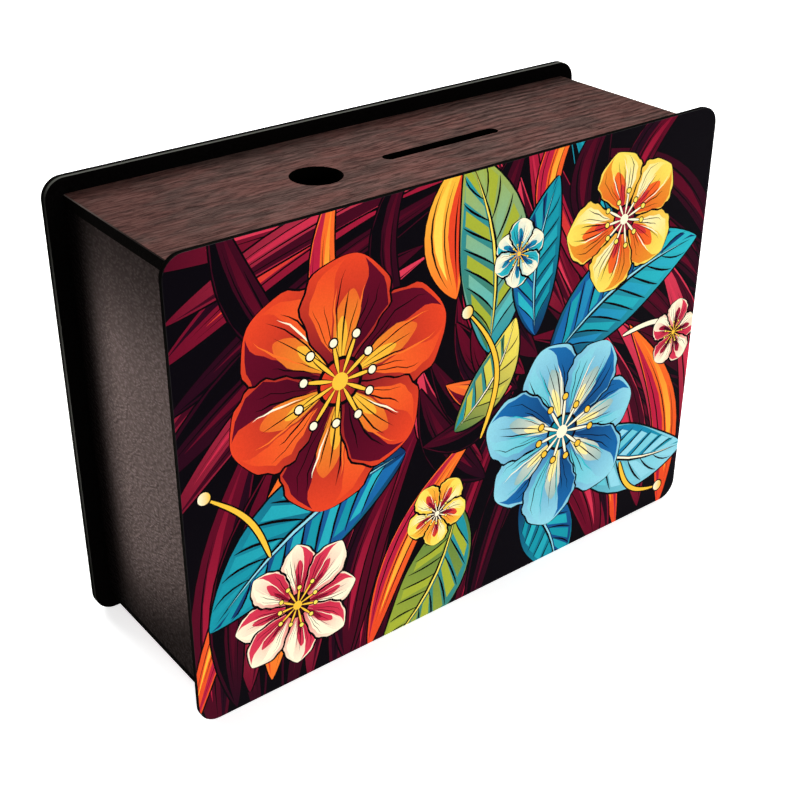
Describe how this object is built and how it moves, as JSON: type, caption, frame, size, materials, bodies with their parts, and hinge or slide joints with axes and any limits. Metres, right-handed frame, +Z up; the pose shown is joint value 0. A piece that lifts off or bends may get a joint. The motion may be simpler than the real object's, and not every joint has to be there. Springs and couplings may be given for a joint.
{
  "type": "money box",
  "caption": "Upright wooden money box with overhanging front and back panels, a coin slot and a round note hole in the top and a swivel hatch underneath.",
  "frame": {"origin": "centre of the footprint, on the surface that the box stands on", "axes": "+X to the right of the printed front, +Y from the front panel to the back panel, +Z up"},
  "size_m": [0.19, 0.065, 0.14],
  "materials": {
    "printed_film": null,
    "black_hardboard": "black stained hardboard",
    "walnut_board": "dark walnut grain, satin, with scorched edges",
    "grained_board": "finely pebbled dark brown face",
    "pine": "raw sawn pine",
    "hatch_board": "brown hardboard with scorched edges",
    "zinc_steel": "zinc plated",
    "fibre_washer": "red-brown fibre"
  },
  "bodies": {
    "box": {"front_print": "printed_film", "front_panel": "black_hardboard", "back_panel": "black_hardboard", "top_panel": "walnut_board", "bottom_panel": "walnut_board", "left_side_panel": "grained_board", "right_side_panel": "grained_board", "upper_left_corner_block": "pine", "upper_right_corner_block": "pine", "lower_left_corner_block": "pine", "lower_right_corner_block": "pine", "hatch_pivot_block": "pine", "hatch_pivot_screw": "zinc_steel", "hatch_spring_washer": "zinc_steel", "hatch_spacer_washer": "fibre_washer"},
    "hatch": {"hatch_cover": "hatch_board"}
  },
  "joints": [
    {"name": "hatch_swivel", "type": "hinge", "parent": "box", "child": "hatch", "pos_m": [-0.02786, -0.0235, 0.003], "axis": [0, 0, 1], "range_deg": [0, 127]}
  ]
}
